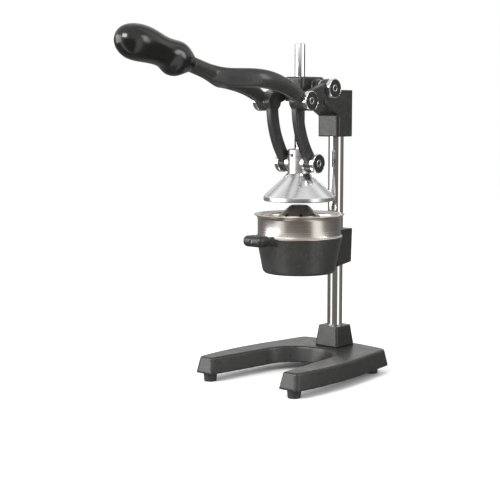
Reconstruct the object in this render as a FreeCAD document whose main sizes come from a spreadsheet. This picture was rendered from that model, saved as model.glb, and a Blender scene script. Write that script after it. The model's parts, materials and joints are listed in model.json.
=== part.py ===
import FreeCAD, Part
import os
import re
import Sketcher
from FreeCAD import Placement, Rotation, Vector

# A lever citrus juice press, in millimetres.
# The press rod's axis is vertical, +Z is up, the operator stands at -Y and the column is at +Y.
# Z = 0 is the surface the rubber feet stand on. Every piece is drawn about the rod's axis and
# then moved back by press_axis_y, which puts the origin under the middle of the whole press.

doc = FreeCAD.newDocument("LeverCitrusPress")
sheet = doc.addObject("Spreadsheet::Sheet", "Sizes")

SIZES = {
    # Whole press
    "press_axis_y": 107.17,
    "running_fit": 0.05,
    "moving_gap": 0.3,
    # Rubber feet and their screws
    "foot_height": 11.5,
    "foot_bottom_radius": 8.4,
    "foot_top_radius": 9.6,
    "foot_front_x": 75.3,
    "foot_front_y": -99.5,
    "foot_rear_x": 60.0,
    "foot_rear_y": 90.0,
    "foot_screw_radius": 2.0,
    "foot_screw_head_radius": 3.6,
    "foot_screw_head_height": 2.4,
    "foot_screw_recess": 4.5,
    "foot_screw_grip": 9.0,
    # Cast base with its two prongs
    "base_thickness": 23.0,
    "base_draft": 11.5,
    "base_prong_end_y": -109.3,
    "base_prong_inner_x": 64.7,
    "base_prong_outer_x": 87.2,
    "base_prong_corner": 7.0,
    "base_widest_x": 91.5,
    "base_widest_y": -40.0,
    "base_front_side_radius": 567.0,
    "base_bend_x": 84.0,
    "base_bend_y": 42.0,
    "base_side_radius": 450.0,
    "base_rear_corner_x": 75.8,
    "base_rear_corner_y": 103.0,
    "base_rear_radius": 342.0,
    "base_rear_corner_round": 14.0,
    "base_notch_radius": 53.9,
    "base_notch_y": -7.9,
    "base_edge_round": 2.5,
    "base_recess_depth": 9.0,
    "base_recess_width": 70.0,
    "base_recess_depth_y": 44.0,
    # Column, its socket and its bolt
    "column_y": 81.0,
    "column_radius": 10.9,
    "column_top": 393.0,
    "column_bolt_radius": 5.0,
    "column_bolt_length": 42.0,
    "column_bolt_head_width": 16.0,
    "column_bolt_head_height": 5.0,
    "column_washer_radius": 15.0,
    "column_washer_thickness": 2.0,
    "socket_height": 29.4,
    "socket_half_width_top": 17.1,
    "socket_draft": 7.0,
    "socket_corner_round": 4.0,
    # Head bracket
    "bracket_half_width": 18.8,
    "bracket_bottom": 333.7,
    "bracket_top": 398.9,
    "bracket_front_face_y": 62.0,
    "bracket_rear_y": 96.0,
    "bracket_web_bottom": 364.0,
    "bracket_corner_round": 4.0,
    "guide_half_width": 16.0,
    "guide_front_y": -15.5,
    "guide_rear_y": 31.0,
    "guide_bottom": 383.0,
    "guide_top": 416.0,
    "guide_corner_round": 6.0,
    "pivot_boss_radius": 13.0,
    "pivot_boss_end_x": 26.0,
    "set_screw_radius": 3.0,
    "set_screw_length": 8.0,
    "set_screw_hex": 3.0,
    "set_screw_hex_depth": 3.0,
    "bracket_screw_low": 350.0,
    "bracket_screw_high": 382.0,
    # Fixed pivot between bracket and lever
    "fixed_pivot_y": 17.7,
    "fixed_pivot_height": 400.0,
    "pivot_shaft_radius": 6.0,
    "pivot_head_radius": 13.3,
    "pivot_head_thickness": 6.8,
    "pivot_head_chamfer": 1.2,
    "pivot_washer_radius": 12.0,
    "inlay_radius": 12.0,
    "inlay_depth": 1.4,
    "inlay_gap": 0.2,
    "head_boss_radius": 5.0,
    "head_hex_width": 5.0,
    "head_hex_depth": 3.0,
    # Lever casting
    "crank_length": 51.8,
    "crank_droop": 19.2,
    "arm_inner_x": 29.0,
    "arm_outer_x": 40.6,
    "arm_boss_radius": 13.0,
    "arm_plate_half_front": 11.0,
    "arm_plate_half_rear": 9.8,
    "arch_front_y": -150.0,
    "arch_front_top": 420.0,
    "arch_front_under": 399.4,
    "arch_rear_y": -41.0,
    "arch_rear_top": 395.0,
    "arch_rear_under": 376.0,
    "arch_top_radius": 103.0,
    "arch_under_radius": 100.0,
    "crotch_centre_y": -104.0,
    "shoulder_rear_y": -100.0,
    "shoulder_inset": 0.9,
    "bar_radius": 10.0,
    "bar_angle": 15.6,
    "bar_end_y": -212.0,
    "bar_end_height": 427.8,
    "bar_length": 78.0,
    "tang_radius": 6.0,
    "tang_length": 96.0,
    "link_bolt_radius": 5.0,
    "arm_edge_round": 2.0,
    # Lever grip
    "grip_angle": 14.2,
    # Press rod
    "rod_radius": 7.05,
    "rod_bottom": 289.0,
    "rod_top": 461.0,
    "rod_chamfer": 1.2,
    # Press cone: hub, bell and side bosses
    "hub_radius": 16.3,
    "hub_top": 318.6,
    "hub_edge_round": 2.0,
    "cone_neck_height": 283.6,
    "cone_neck_radius": 17.8,
    "cone_rim_top": 254.1,
    "cone_rim_bottom": 247.2,
    "cone_rim_radius": 49.3,
    "cone_wall": 4.0,
    "bell_crown_height": 276.0,
    "bell_crown_radius": 14.0,
    "hub_boss_radius": 12.3,
    "hub_boss_x": 16.4,
    "hub_screw_height": 309.7,
    "cross_bolt_radius": 5.0,
    "cross_bolt_head_radius": 13.3,
    "cross_bolt_head_thickness": 7.0,
    "cross_bolt_root_x": 8.4,
    # Curved links
    "link_length": 89.7,
    "link_bow": 9.3,
    "link_width": 16.4,
    "link_thickness": 10.4,
    "link_inner_x": 17.1,
    "link_top_boss_radius": 12.6,
    "link_bottom_boss_radius": 12.3,
    "link_edge_round": 2.5,
    "link_nut_radius": 8.0,
    "link_nut_thickness": 0.8,
    # Collar that carries the cup on the column
    "collar_half_width": 20.0,
    "collar_front_y": 61.5,
    "collar_rear_y": 97.0,
    "collar_top": 203.5,
    "collar_bottom": 153.0,
    "slot_neck_half": 7.0,
    "slot_head_half": 10.0,
    "slot_neck_depth": 3.0,
    "slot_head_depth": 3.2,
    "slot_height": 30.0,
    # Juice cup
    "cup_top": 197.6,
    "cup_top_radius": 59.3,
    "cup_side_bottom": 151.5,
    "cup_bottom_radius": 50.5,
    "cup_foot": 148.0,
    "cup_foot_radius": 47.5,
    "cup_wall": 4.0,
    "cup_outlet_radius": 9.0,
    "cup_floor_rise": 8.0,
    "cup_lug_half_width": 9.5,
    "cup_lug_bottom": 187.0,
    "cup_lug_rise": 5.5,
    "cup_lug_slope": 3.5,
    # Cup handle
    "handle_end_y": -100.0,
    "handle_depth": 24.0,
    "handle_width": 34.0,
    "handle_height": 15.0,
    "handle_centre_height": 198.0,
    "handle_round": 6.5,
    "handle_screw_radius": 2.5,
    "handle_screw_head_radius": 3.8,
    # Strainer bowl
    "strainer_rim_radius": 62.5,
    "strainer_rim_height": 229.3,
    "strainer_rim_drop": 5.0,
    "strainer_radius": 57.5,
    "strainer_wall": 1.5,
    "strainer_foot_radius": 60.0,
    "strainer_foot_height": 1.6,
    "strainer_spigot_gap": 1.4,
    "strainer_spigot_depth": 2.5,
    "strainer_floor_edge": 208.5,
    "strainer_floor_top": 222.5,
    "strainer_hole_radius": 2.3,
    "strainer_inner_ring": 36.0,
    "strainer_outer_ring": 47.0,
    # Reamer
    "reamer_bottom_radius": 29.0,
    "reamer_skirt_radius": 27.4,
    "reamer_skirt_top": 227.5,
    "reamer_top_radius": 14.5,
    "reamer_top": 241.0,
    "reamer_ring_step": 1.2,
    "reamer_wall": 2.5,
    "reamer_hole_radius": 2.0,
    "reamer_hole_height": 228.6,
}

# Radius and upward offset of the grip's round sections, at their distances from its front end.
GRIP_SECTIONS = (
    ("front", 0.0, 10.6, 0.0),
    ("flare", 5.0, 13.4, 0.6),
    ("shoulder", 13.0, 17.8, 0.2),
    ("guard", 25.5, 22.2, -0.9),
    ("guard_back", 33.0, 21.6, -1.0),
    ("waist_front", 41.5, 19.0, 0.9),
    ("waist", 50.0, 18.4, 1.5),
    ("palm_front", 61.0, 19.4, 1.8),
    ("palm", 74.0, 21.3, 1.8),
    ("bulb_front", 88.0, 22.5, 0.6),
    ("bulb", 100.0, 21.6, -0.5),
    ("bulb_rear", 110.5, 17.9, -0.5),
    ("crown", 117.5, 12.0, -0.2),
    ("end", 121.0, 4.5, 0.0),
)
for label, along, radius, offset in GRIP_SECTIONS:
    SIZES["grip_" + label + "_along"] = along
    SIZES["grip_" + label + "_radius"] = radius
    SIZES["grip_" + label + "_offset"] = offset

for row, (alias, amount) in enumerate(SIZES.items(), start=1):
    sheet.set("A%d" % row, alias)
    sheet.set("B%d" % row, str(amount))
    sheet.setAlias("B%d" % row, alias)
doc.recompute()

ALIAS = re.compile(r"\b(" + "|".join(sorted(SIZES, key=len, reverse=True)) + r")\b")

# Places that follow from the sizes above
BASE_UNDER = "foot_height"
BASE_TOP = "(foot_height + base_thickness)"
CRANK_Y = "(fixed_pivot_y - crank_length * cos(crank_droop * 1 deg))"
CRANK_Z = "(fixed_pivot_height - crank_length * sin(crank_droop * 1 deg))"
CROSS_Z = "(" + CRANK_Z + " - sqrt(link_length ^ 2 - " + CRANK_Y + " ^ 2))"
LINK_LEAN = "asin(-" + CRANK_Y + " / link_length)"


def bind(text):
    return ALIAS.sub(r"Sizes.\1", str(text))


def number(text):
    return float(sheet.evalExpression(bind(text)))


# Sketches whose every point and radius is tied to the sheet

def sketch(body, plane, name, offset=None):
    item = body.newObject("Sketcher::SketchObject", name)
    support = [part for part in body.Origin.OriginFeatures if part.Role == plane][0]
    item.AttachmentSupport = (support, [""])
    item.MapMode = "FlatFace"
    if offset is not None:
        item.setExpression("AttachmentOffset.Base.z", bind(offset))
    return item


def tie(item, constraint, text):
    index = item.addConstraint(constraint)
    item.setExpression("Constraints[%d]" % index, bind(text))


def pin(item, geometry, vertex, across, up):
    tie(item, Sketcher.Constraint("DistanceX", -1, 1, geometry, vertex, number(across)), across)
    tie(item, Sketcher.Constraint("DistanceY", -1, 1, geometry, vertex, number(up)), up)


def circle(item, across, up, radius):
    centre = Vector(number(across), number(up), 0)
    index = item.addGeometry(Part.Circle(centre, Vector(0, 0, 1), number(radius)))
    pin(item, index, 3, across, up)
    tie(item, Sketcher.Constraint("Radius", index, number(radius)), radius)


def outline(item, points):
    # A point is (across, up) or, where an arc leaves it, (across, up, radius, side):
    # side is 1 where the arc bulges to the right of its direction of travel, otherwise -1.
    places = [Vector(number(point[0]), number(point[1]), 0) for point in points]
    ends = []
    for index, point in enumerate(points):
        start = places[index]
        end = places[(index + 1) % len(points)]
        if len(point) == 2:
            ends.append((item.addGeometry(Part.LineSegment(start, end)), 1, 2))
            continue
        chord = end - start
        radius = number(point[2])
        across = Vector(chord.y, -chord.x, 0).normalize() * point[3]
        bulge = radius - (radius ** 2 - chord.Length ** 2 / 4) ** 0.5
        middle = (start + end) * 0.5 + across * bulge
        if point[3] > 0:
            arc = Part.Arc(start, middle, end)
            ends.append((item.addGeometry(arc), 1, 2))
        else:
            arc = Part.Arc(end, middle, start)
            ends.append((item.addGeometry(arc), 2, 1))
    for index, point in enumerate(points):
        geometry, first, last = ends[index]
        following, entry, leave = ends[(index + 1) % len(points)]
        item.addConstraint(Sketcher.Constraint("Coincident", geometry, last, following, entry))
        pin(item, geometry, first, point[0], point[1])
        if len(point) > 2:
            tie(item, Sketcher.Constraint("Radius", geometry, number(point[2])), point[2])


def box_outline(item, left, right, bottom, top):
    outline(item, [(left, bottom), (right, bottom), (right, top), (left, top)])


def hexagon_outline(item, width):
    corner = "(%s) / sqrt(3)" % width
    outline(item, [
        ("%s * cos(%d * 1 deg)" % (corner, angle), "%s * sin(%d * 1 deg)" % (corner, angle))
        for angle in range(0, 360, 60)
    ])


# Part Design features

def new_body(name):
    body = doc.addObject("PartDesign::Body", name)
    body.Label = name
    return body


def pad(body, profile, length, both=False, back=False, taper=None):
    item = body.newObject("PartDesign::Pad", profile.Name + "Pad")
    item.Profile = profile
    item.setExpression("Length", bind(length))
    item.Midplane = both
    item.Reversed = back
    if taper is not None:
        item.setExpression("TaperAngle", bind(taper))
    doc.recompute()
    return item


def pocket(body, profile, length, both=False, back=False):
    item = body.newObject("PartDesign::Pocket", profile.Name + "Pocket")
    item.Profile = profile
    item.setExpression("Length", bind(length))
    item.Midplane = both
    item.Reversed = back
    doc.recompute()
    return item


def turn(body, profile, kind="Revolution"):
    item = body.newObject("PartDesign::" + kind, profile.Name + kind)
    item.Profile = profile
    item.ReferenceAxis = (profile, ["V_Axis"])
    item.Angle = 360
    doc.recompute()
    return item


def edges_where(item, test):
    found = []
    for index, edge in enumerate(item.Shape.Edges, start=1):
        if test(edge):
            found.append("Edge%d" % index)
    return found


def round_edges(body, item, test, radius, kind="Fillet"):
    names = edges_where(item, test)
    dressed = body.newObject("PartDesign::" + kind, item.Name + kind)
    dressed.Base = (item, names)
    dressed.setExpression("Size" if kind == "Chamfer" else "Radius", bind(radius))
    doc.recompute()
    return dressed


def is_level(edge, height):
    box = edge.BoundBox
    return abs(box.ZMin - height) < 0.01 and abs(box.ZMax - height) < 0.01


def is_upright(edge):
    box = edge.BoundBox
    return box.ZLength > 1 and box.XLength < 0.01 and box.YLength < 0.01


def settle(item):
    item.setExpression("Placement.Base.y", bind("press_axis_y"))
    return item


# Plain solids

def rod_along_x(name, radius, start, end, across, up):
    item = doc.addObject("Part::Cylinder", name)
    item.Placement = Placement(Vector(), Rotation(Vector(0, 1, 0), 90))
    item.setExpression("Radius", bind(radius))
    item.setExpression("Height", bind("abs((%s) - (%s))" % (end, start)))
    item.setExpression("Placement.Base.x", bind(start))
    item.setExpression("Placement.Base.y", bind(across))
    item.setExpression("Placement.Base.z", bind(up))
    return item


def upright_rod(name, radius, bottom, height, across="0", along="0"):
    item = doc.addObject("Part::Cylinder", name)
    item.setExpression("Radius", bind(radius))
    item.setExpression("Height", bind(height))
    item.setExpression("Placement.Base.x", bind(across))
    item.setExpression("Placement.Base.y", bind(along))
    item.setExpression("Placement.Base.z", bind(bottom))
    return item


def rod_along_y(name, radius, start, end, up, across="0"):
    item = doc.addObject("Part::Cylinder", name)
    item.Placement = Placement(Vector(), Rotation(Vector(1, 0, 0), -90))
    item.setExpression("Radius", bind(radius))
    item.setExpression("Height", bind("abs((%s) - (%s))" % (end, start)))
    item.setExpression("Placement.Base.x", bind(across))
    item.setExpression("Placement.Base.y", bind(start))
    item.setExpression("Placement.Base.z", bind(up))
    return item


def hexagon_prism(name, width, height):
    item = doc.addObject("Part::Prism", name)
    item.Polygon = 6
    item.setExpression("Circumradius", bind("(%s) / sqrt(3)" % width))
    item.setExpression("Height", bind(height))
    return item


def combine(kind, name, items):
    item = doc.addObject("Part::" + kind, name)
    item.Label = name
    if kind == "Cut":
        item.Base = items[0]
        item.Tool = items[1]
    elif kind == "Compound":
        item.Links = items
    else:
        item.Shapes = items
    doc.recompute()
    return item


# Rubber feet and the screws that hold them

FEET = {
    "foot_front_right": ("foot_front_x", "foot_front_y"),
    "foot_front_left": ("-foot_front_x", "foot_front_y"),
    "foot_rear_right": ("foot_rear_x", "foot_rear_y"),
    "foot_rear_left": ("-foot_rear_x", "foot_rear_y"),
}


def make_foot(name, across, along):
    body = new_body(name)
    profile = sketch(body, "XZ_Plane", name + "_profile")
    head = "foot_screw_head_radius + moving_gap"
    shank = "foot_screw_radius + running_fit"
    outline(profile, [
        (head, "0"),
        ("foot_bottom_radius", "0"),
        ("foot_top_radius", "foot_height"),
        (shank, "foot_height"),
        (shank, "foot_screw_recess"),
        (head, "foot_screw_recess"),
    ])
    turn(body, profile)
    body.setExpression("Placement.Base.x", bind(across))
    body.setExpression("Placement.Base.y", bind("press_axis_y + " + along))
    return body


def make_foot_screws():
    screws = []
    for name, (across, along) in FEET.items():
        head = upright_rod(name + "_screw_head", "foot_screw_head_radius",
                           "foot_screw_recess - foot_screw_head_height",
                           "foot_screw_head_height", across, along)
        shank = upright_rod(name + "_screw_shank", "foot_screw_radius", "foot_screw_recess",
                            "foot_height - foot_screw_recess + foot_screw_grip", across, along)
        screws.append(combine("MultiFuse", name + "_screw", [head, shank]))
    return settle(combine("Compound", "foot_screws", screws))


# Cast base: a plate with a round notch for the glass between two prongs

def make_base():
    body = new_body("base_casting")
    profile = sketch(body, "XY_Plane", "base_outline", BASE_TOP)
    tangent_y = "(base_notch_y + base_notch_radius * 0.106)"
    tangent_x = "(base_notch_radius * 0.9944)"
    right = [
        (tangent_x, tangent_y),
        ("base_prong_inner_x", "base_prong_end_y"),
        ("base_prong_outer_x", "base_prong_end_y", "base_front_side_radius", 1),
        ("base_widest_x", "base_widest_y", "base_side_radius", 1),
        ("base_bend_x", "base_bend_y"),
        ("base_rear_corner_x", "base_rear_corner_y", "base_rear_radius", 1),
    ]
    left = [
        ("-base_rear_corner_x", "base_rear_corner_y"),
        ("-base_bend_x", "base_bend_y", "base_side_radius", 1),
        ("-base_widest_x", "base_widest_y", "base_front_side_radius", 1),
        ("-base_prong_outer_x", "base_prong_end_y"),
        ("-base_prong_inner_x", "base_prong_end_y"),
        ("-" + tangent_x, tangent_y, "base_notch_radius", -1),
    ]
    outline(profile, right + left)
    plate = pad(body, profile, "base_thickness", back=True, taper="base_draft")
    top = number(BASE_TOP)
    corner_y = number("base_prong_end_y")

    def is_prong_corner(edge):
        box = edge.BoundBox
        slanted = box.ZLength > 5 and box.YMax < corner_y + 1
        return slanted and min(abs(box.XMin), abs(box.XMax)) > number("base_prong_inner_x") + 5

    def is_rear_corner(edge):
        box = edge.BoundBox
        return box.ZLength > 5 and box.YMin > number("base_rear_corner_y") - 1

    rounded = round_edges(body, plate, is_prong_corner, "base_prong_corner")
    rounded = round_edges(body, rounded, is_rear_corner, "base_rear_corner_round")
    rounded = round_edges(body, rounded, lambda edge: is_level(edge, top), "base_edge_round")
    recess = sketch(body, "XY_Plane", "base_recess", BASE_UNDER)
    box_outline(recess, "-base_recess_width / 2", "base_recess_width / 2",
                "column_y - base_recess_depth_y / 2", "column_y + base_recess_depth_y / 2")
    pocket(body, recess, "base_recess_depth", back=True)
    bore = sketch(body, "XY_Plane", "base_bore", BASE_TOP)
    circle(bore, "0", "column_y", "column_radius + running_fit")
    pocket(body, bore, "base_thickness")
    screw_holes = sketch(body, "XY_Plane", "base_foot_holes", BASE_UNDER)
    for across, along in FEET.values():
        circle(screw_holes, across, along, "foot_screw_radius + running_fit")
    pocket(body, screw_holes, "foot_screw_grip", back=True)
    return settle(body)


# Column, the socket that steadies it, and the bolt and washer under the base

SOCKET_TOP = "(" + BASE_TOP + " + socket_height)"
RECESS_TOP = "(foot_height + base_recess_depth)"
COLUMN_FOOT = "(" + RECESS_TOP + " + moving_gap)"
WASHER_UNDER = "(" + RECESS_TOP + " - column_washer_thickness)"


def make_socket():
    body = new_body("column_socket")
    profile = sketch(body, "XY_Plane", "socket_outline", SOCKET_TOP)
    half = "socket_half_width_top"
    box_outline(profile, "-" + half, half, "column_y - " + half, "column_y + " + half)
    block = pad(body, profile, "socket_height", back=True, taper="socket_draft")
    rounded = round_edges(body, block, lambda edge: edge.BoundBox.ZLength > 5, "socket_corner_round")
    bore = sketch(body, "XY_Plane", "socket_bore", SOCKET_TOP)
    circle(bore, "0", "column_y", "column_radius + running_fit")
    pocket(body, bore, "socket_height")
    return settle(body)


def make_column():
    bar = upright_rod("column_bar", "column_radius", COLUMN_FOOT,
                      "column_top - " + COLUMN_FOOT, along="column_y")
    thread = upright_rod("column_thread", "column_bolt_radius + running_fit", COLUMN_FOOT,
                         "column_bolt_length", along="column_y")
    return settle(combine("Cut", "column", [bar, thread]))


def make_column_washer():
    disc = upright_rod("washer_disc", "column_washer_radius", WASHER_UNDER,
                       "column_washer_thickness", along="column_y")
    hole = upright_rod("washer_hole", "column_bolt_radius + running_fit", WASHER_UNDER,
                       "column_washer_thickness", along="column_y")
    return settle(combine("Cut", "column_washer", [disc, hole]))


def make_column_bolt():
    head = hexagon_prism("column_bolt_head", "column_bolt_head_width", "column_bolt_head_height")
    head.setExpression("Placement.Base.y", bind("column_y"))
    head.setExpression("Placement.Base.z", bind(WASHER_UNDER + " - column_bolt_head_height"))
    shank = upright_rod("column_bolt_shank", "column_bolt_radius", WASHER_UNDER,
                        "column_bolt_length", along="column_y")
    return settle(combine("MultiFuse", "column_bolt", [head, shank]))


# Head bracket: a clamp block on the column, a sloping web and the guide of the press rod

def make_bracket():
    body = new_body("head_bracket")
    block = sketch(body, "YZ_Plane", "bracket_side")
    outline(block, [
        ("bracket_front_face_y", "bracket_bottom"),
        ("bracket_rear_y", "bracket_bottom"),
        ("bracket_rear_y", "bracket_top"),
        ("guide_rear_y", "bracket_top"),
        ("guide_rear_y", "guide_bottom - 3"),
        ("bracket_front_face_y", "bracket_web_bottom"),
    ])
    block_pad = pad(body, block, "2 * bracket_half_width", both=True)
    rounded = round_edges(body, block_pad, is_upright, "bracket_corner_round")
    guide = sketch(body, "YZ_Plane", "guide_side")
    outline(guide, [
        ("guide_front_y", "guide_bottom"),
        ("guide_rear_y - 8", "guide_bottom"),
        ("bracket_front_face_y - 8", "bracket_web_bottom + 3"),
        ("bracket_front_face_y - 8", "bracket_top"),
        ("guide_rear_y + 9", "bracket_top"),
        ("guide_rear_y", "guide_top"),
        ("guide_front_y", "guide_top"),
    ])
    pad(body, guide, "2 * guide_half_width", both=True)
    front = number("guide_front_y")

    def is_guide_corner(edge):
        return is_upright(edge) and edge.BoundBox.YMax < front + 1

    def is_guide_top(edge):
        return is_level(edge, number("guide_top")) and edge.BoundBox.YMin < number("guide_rear_y") - 1

    rounded = round_edges(body, body.Tip, is_guide_corner, "guide_corner_round")
    rounded = round_edges(body, rounded, is_guide_top, "base_edge_round")
    boss = sketch(body, "YZ_Plane", "pivot_boss")
    circle(boss, "fixed_pivot_y", "fixed_pivot_height", "pivot_boss_radius")
    pad(body, boss, "2 * pivot_boss_end_x", both=True)
    cross_bore = sketch(body, "YZ_Plane", "pivot_bore")
    circle(cross_bore, "fixed_pivot_y", "fixed_pivot_height", "pivot_shaft_radius + running_fit")
    pocket(body, cross_bore, "2 * pivot_boss_end_x + 2", both=True)
    rod_bore = sketch(body, "XY_Plane", "guide_bore", "guide_top")
    circle(rod_bore, "0", "0", "rod_radius + running_fit")
    pocket(body, rod_bore, "guide_top - guide_bottom + 2")
    column_bore = sketch(body, "XY_Plane", "bracket_bore", "bracket_bottom")
    circle(column_bore, "0", "column_y", "column_radius + running_fit")
    pocket(body, column_bore, "column_top - bracket_bottom + moving_gap", back=True)
    screws = sketch(body, "XZ_Plane", "bracket_screw_holes", "-bracket_rear_y")
    for height in ("bracket_screw_low", "bracket_screw_high"):
        circle(screws, "0", height, "set_screw_radius + running_fit")
    pocket(body, screws, "bracket_rear_y - column_y", back=True)
    return settle(body)


def make_set_screw(name, tip_y, height, towards):
    # A headless screw along Y whose tip is at tip_y and whose hexagon socket faces outwards.
    far = "%s + (%s) * set_screw_length" % (tip_y, towards)
    start = tip_y if towards == "1" else far
    bar = rod_along_y(name + "_bar", "set_screw_radius", start, start + " + set_screw_length", height)
    key = hexagon_prism(name + "_key", "set_screw_hex", "set_screw_hex_depth")
    key.Placement = Placement(Vector(), Rotation(Vector(1, 0, 0), -90))
    socket = far + " - set_screw_hex_depth" if towards == "1" else far
    key.setExpression("Placement.Base.y", bind(socket))
    key.setExpression("Placement.Base.z", bind(height))
    return combine("Cut", name, [bar, key])


def make_bracket_screws():
    tip = "column_y + column_radius + running_fit"
    screws = [
        make_set_screw("bracket_screw_" + place, tip, "bracket_screw_" + place, "1")
        for place in ("low", "high")
    ]
    return settle(combine("Compound", "bracket_set_screws", screws))


# Pivot hardware: round heads with a black inlay and a hexagon socket

def make_pivot_head(name, radius, thickness, start, side, across, up):
    # A disc along X from start outwards: its chamfered rim and the boss with the hexagon
    # socket stand proud of a ring-shaped recess.
    body = doc.addObject("PartDesign::Body", name)
    profile = sketch(body, "XZ_Plane", name + "_profile")
    outline(profile, [
        ("0", "0"),
        (radius, "0"),
        (radius, thickness + " - pivot_head_chamfer"),
        (radius + " - pivot_head_chamfer", thickness),
        ("inlay_radius", thickness),
        ("inlay_radius", thickness + " - inlay_depth"),
        ("head_boss_radius", thickness + " - inlay_depth"),
        ("head_boss_radius", thickness),
        ("0", thickness),
    ])
    turn(body, profile)
    socket = sketch(body, "XY_Plane", name + "_socket", thickness)
    hexagon_outline(socket, "head_hex_width")
    pocket(body, socket, "head_hex_depth")
    body.Placement = Placement(Vector(), Rotation(Vector(0, 1, 0), 90 * side))
    body.setExpression("Placement.Base.x", bind("%d * (%s)" % (side, start)))
    body.setExpression("Placement.Base.y", bind(across))
    body.setExpression("Placement.Base.z", bind(up))
    return body


def make_inlay(name, thickness, start, side, across, up):
    disc = upright_rod(name + "_disc", "inlay_radius - inlay_gap", "0", "inlay_depth - inlay_gap")
    hole = upright_rod(name + "_hole", "head_boss_radius + inlay_gap", "0", "inlay_depth")
    inlay = combine("Cut", name, [disc, hole])
    inlay.Placement = Placement(Vector(), Rotation(Vector(0, 1, 0), 90 * side))
    bottom = "%s + %s - inlay_depth" % (start, thickness)
    inlay.setExpression("Placement.Base.x", bind("%d * (%s)" % (side, bottom)))
    inlay.setExpression("Placement.Base.y", bind(across))
    inlay.setExpression("Placement.Base.z", bind(up))
    return inlay


HEAD_START = "arm_outer_x + moving_gap"
SIDES = {"right": 1, "left": -1}


def make_fixed_pivot():
    across = "fixed_pivot_y"
    up = "fixed_pivot_height"
    shaft = rod_along_x("fixed_pivot_shaft", "pivot_shaft_radius", "-(%s)" % HEAD_START,
                        HEAD_START, across, up)
    shaft.Label = "fixed_pivot_shaft"
    shaft.setExpression("Placement.Base.y", bind("press_axis_y + " + across))
    pieces = [shaft]
    inlays = []
    washers = []
    for name, side in SIDES.items():
        head = make_pivot_head("fixed_pivot_head_" + name, "pivot_head_radius",
                               "pivot_head_thickness", HEAD_START, side, across, up)
        head.setExpression("Placement.Base.y", bind("press_axis_y + " + across))
        pieces.append(head)
        inlays.append(make_inlay("fixed_pivot_inlay_" + name, "pivot_head_thickness",
                                 HEAD_START, side, across, up))
        inner = "%d * pivot_boss_end_x" % side
        outer = "%d * (arm_inner_x - moving_gap)" % side
        start, end = (inner, outer) if side > 0 else (outer, inner)
        disc = rod_along_x("pivot_washer_disc_" + name, "pivot_washer_radius", start, end, across, up)
        hole = rod_along_x("pivot_washer_hole_" + name, "pivot_shaft_radius + running_fit",
                           start, end, across, up)
        washers.append(combine("Cut", "pivot_washer_" + name, [disc, hole]))
    pieces.append(settle(combine("Compound", "fixed_pivot_inlays", inlays)))
    pieces.append(settle(combine("Compound", "fixed_pivot_washers", washers)))
    return pieces


# Lever: one casting with a bar, a fork that arches over the links, and two crank plates

def pad_arms(body, name, draw):
    # The same upright outline padded across each arm of the fork.
    for side, start in (("right", "arm_inner_x"), ("left", "-arm_outer_x")):
        item = sketch(body, "YZ_Plane", "%s_%s" % (name, side), start)
        draw(item)
        pad(body, item, "arm_outer_x - arm_inner_x")


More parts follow.
